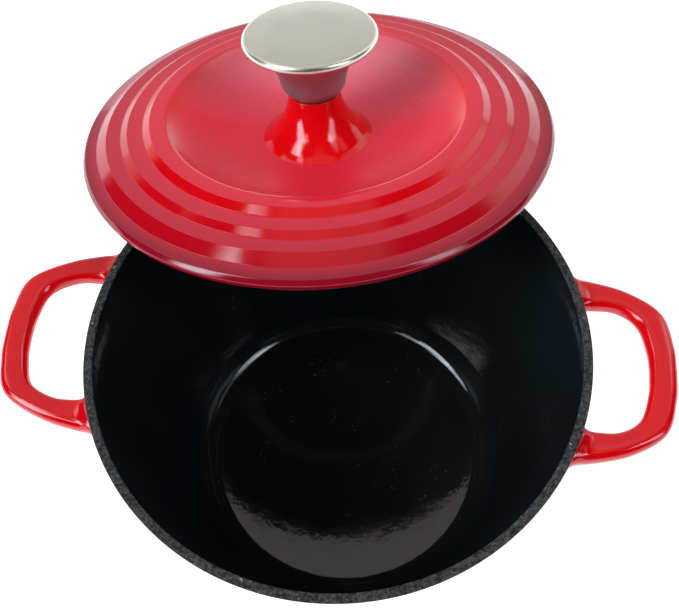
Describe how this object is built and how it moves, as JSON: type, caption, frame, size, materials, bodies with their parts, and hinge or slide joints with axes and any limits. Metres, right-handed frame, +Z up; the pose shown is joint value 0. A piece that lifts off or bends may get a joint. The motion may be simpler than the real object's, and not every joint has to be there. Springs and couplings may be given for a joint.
{
  "type": "enamelled cast iron dutch oven with its lid set aside on the rim",
  "caption": "Deep round cast iron pot with a tapering wall and two loop handles, and a ringed lid with a sunk centre, a waisted boss and a flat-topped steel knob, resting tipped on the rear rim.",
  "frame": {"origin": "The centre of the pot's flat base, on the surface it stands on.", "axes": "+Z is up, out of the pot's mouth. X runs through the two loop handles. +Y points to the rear, where the lid is tipped over the rim, and the front is -Y."},
  "size_m": [0.2668, 0.2917, 0.1861],
  "materials": {
    "red_enamel": "glossy red vitreous enamel over cast iron, near-black inside the pot",
    "steel": "turned stainless steel with fine rings",
    "zinc": "zinc-plated fastener steel",
    "silicone": "matte black silicone"
  },
  "bodies": {
    "pot": {"pot_body": "red_enamel", "left_handle": "red_enamel", "right_handle": "red_enamel"},
    "lid": {"lid": "red_enamel", "lid_knob": "steel", "knob_threaded_insert": "zinc", "knob_gasket": "silicone", "sealing_washer": "silicone", "flat_washer": "zinc", "lock_washer": "zinc", "knob_screw": "zinc"}
  },
  "joints": [
    {"name": "lid_lift", "type": "slide", "parent": "pot", "child": "lid", "axis": [0, 0, 1], "range_m": [0, 0.15]}
  ]
}
